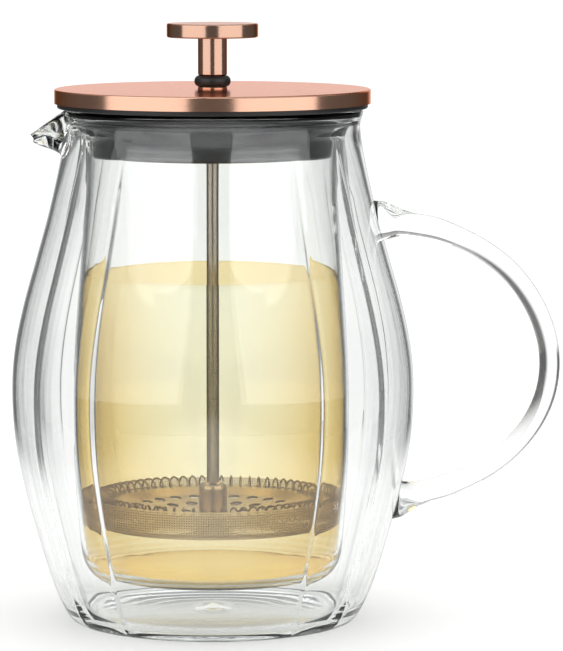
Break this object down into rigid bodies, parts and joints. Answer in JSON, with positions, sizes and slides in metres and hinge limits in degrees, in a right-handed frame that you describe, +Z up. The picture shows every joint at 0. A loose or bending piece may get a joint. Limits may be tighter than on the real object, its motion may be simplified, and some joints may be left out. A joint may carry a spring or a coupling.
{
  "type": "french press",
  "caption": "Double-walled glass french press with a loop handle, a metal lid and a plunger that carries a coil-edged mesh filter.",
  "frame": {"origin": "on the table, under the centre of the jug's base", "axes": "+Z up along the jug and the plunger rod, +X towards the handle, -X towards the pouring spout, +Y to the side"},
  "size_m": [0.174, 0.1274, 0.1897],
  "materials": {
    "jug_glass": "clear borosilicate glass",
    "rose_gold": "polished rose-gold plating",
    "plug_steel": "satin dark steel",
    "black_silicone": "soft black silicone",
    "grey_silicone": "dark grey silicone",
    "steel": "satin stainless steel",
    "spring_steel": "drawn stainless wire",
    "mesh": "fine woven stainless mesh"
  },
  "bodies": {
    "jug": {"outer_glass_wall": "jug_glass", "inner_glass_vessel": "jug_glass", "pour_spout": "jug_glass", "glass_handle": "jug_glass", "vent_seal": "jug_glass"},
    "seal": {"lid_seal_ring": "black_silicone"},
    "lid": {"lid_cover": "rose_gold", "lid_plug": "plug_steel", "plug_seal_band": "grey_silicone", "lid_bushing": "rose_gold", "bushing_washer": "steel", "bushing_nut": "steel"},
    "grommet": {"rod_grommet": "black_silicone"},
    "plunger": {"knob_cap": "rose_gold", "knob_stem": "rose_gold", "plunger_rod": "steel", "hub_nut": "steel", "spiral_plate": "steel", "coil_spring": "spring_steel", "mesh_screen": "mesh", "cross_plate": "steel", "filter_nut": "steel"}
  },
  "joints": [
    {"name": "lid_lift", "type": "slide", "parent": "jug", "child": "seal", "axis": [0, 0, 1], "range_m": [0, 0.15]},
    {"name": "lid_turn", "type": "hinge", "parent": "seal", "child": "lid", "pos_m": [0, 0, 0.164], "axis": [0, 0, 1], "continuous": true},
    {"name": "plunger_turn", "type": "hinge", "parent": "lid", "child": "grommet", "pos_m": [0, 0, 0.17], "axis": [0, 0, 1], "continuous": true},
    {"name": "plunger_slide", "type": "slide", "parent": "grommet", "child": "plunger", "axis": [0, 0, 1], "range_m": [0, 0.102]}
  ]
}
